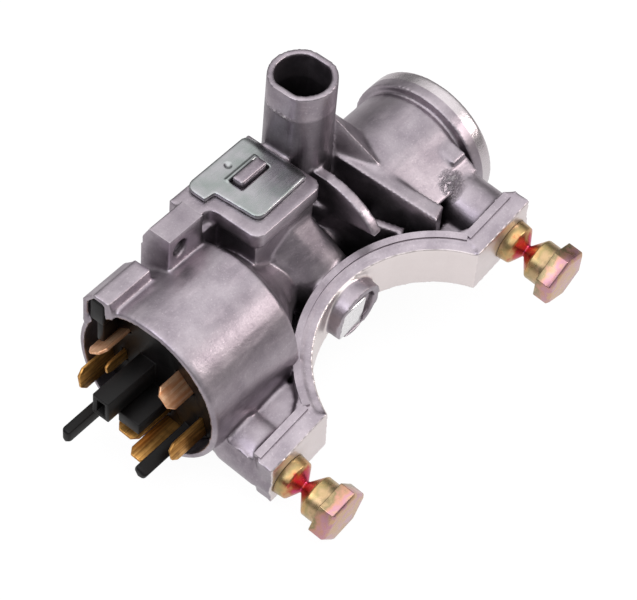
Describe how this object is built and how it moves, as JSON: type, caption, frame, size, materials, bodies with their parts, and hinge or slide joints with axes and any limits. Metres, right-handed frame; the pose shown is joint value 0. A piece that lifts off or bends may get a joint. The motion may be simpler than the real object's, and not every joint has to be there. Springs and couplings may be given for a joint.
{
  "type": "steering lock",
  "caption": "Cast steering column lock with a half-round saddle and shear bolts, an open-ended ignition switch with blade terminals, an empty lock barrel bore and an upright tube.",
  "frame": {"origin": "the steering column's axis where it crosses the top face of the saddle", "axes": "+X along the ignition axis towards the lock barrel's bore, +Z along the upright tube, +Y from the column to the casting"},
  "size_m": [0.1203, 0.0725, 0.0681],
  "materials": {
    "cast_zinc": "as-cast, satin grey",
    "zinc_plate": "bright zinc plated sheet",
    "black_plastic": "moulded, satin",
    "grey_plastic": "moulded, satin",
    "brass": "stamped, tarnished",
    "copper": "stamped copper alloy",
    "yellow_chromate": "yellow chromate on zinc plate",
    "steel": "machined",
    "spring_steel": "drawn wire"
  },
  "bodies": {
    "casting": {"housing": "cast_zinc", "cover_plate": "zinc_plate", "shear_bolt_left": "yellow_chromate", "shear_bolt_right": "yellow_chromate", "switch_base": "black_plastic", "terminal_1": "copper", "terminal_2": "brass", "terminal_3": "brass", "terminal_4": "brass", "terminal_5": "brass", "terminal_6": "brass", "terminal_7": "copper", "start_return_spring": "spring_steel", "bolt_spring": "spring_steel", "catch_spring": "spring_steel", "switch_grub_screw": "spring_steel"},
    "driver": {"driver_shaft": "steel", "lock_cam": "steel", "switch_rotor": "grey_plastic", "contact_bridge_a": "copper", "contact_bridge_b": "copper"},
    "bolt": {"lock_bolt": "steel", "bolt_carrier": "steel"},
    "catch": {"catch_plunger": "steel"}
  },
  "joints": [
    {"name": "driver_turn", "type": "hinge", "parent": "casting", "child": "driver", "pos_m": [0, 0.0451, -0.0014], "axis": [1, 0, 0], "range_deg": [0, 125]},
    {"name": "lock_bolt_slide", "type": "slide", "parent": "casting", "child": "bolt", "axis": [0, -0.9957, -0.0924], "range_m": [0, 0.0065]},
    {"name": "catch_drop", "type": "slide", "parent": "casting", "child": "catch", "axis": [0, 0, -1], "range_m": [0, 0.0012]}
  ]
}
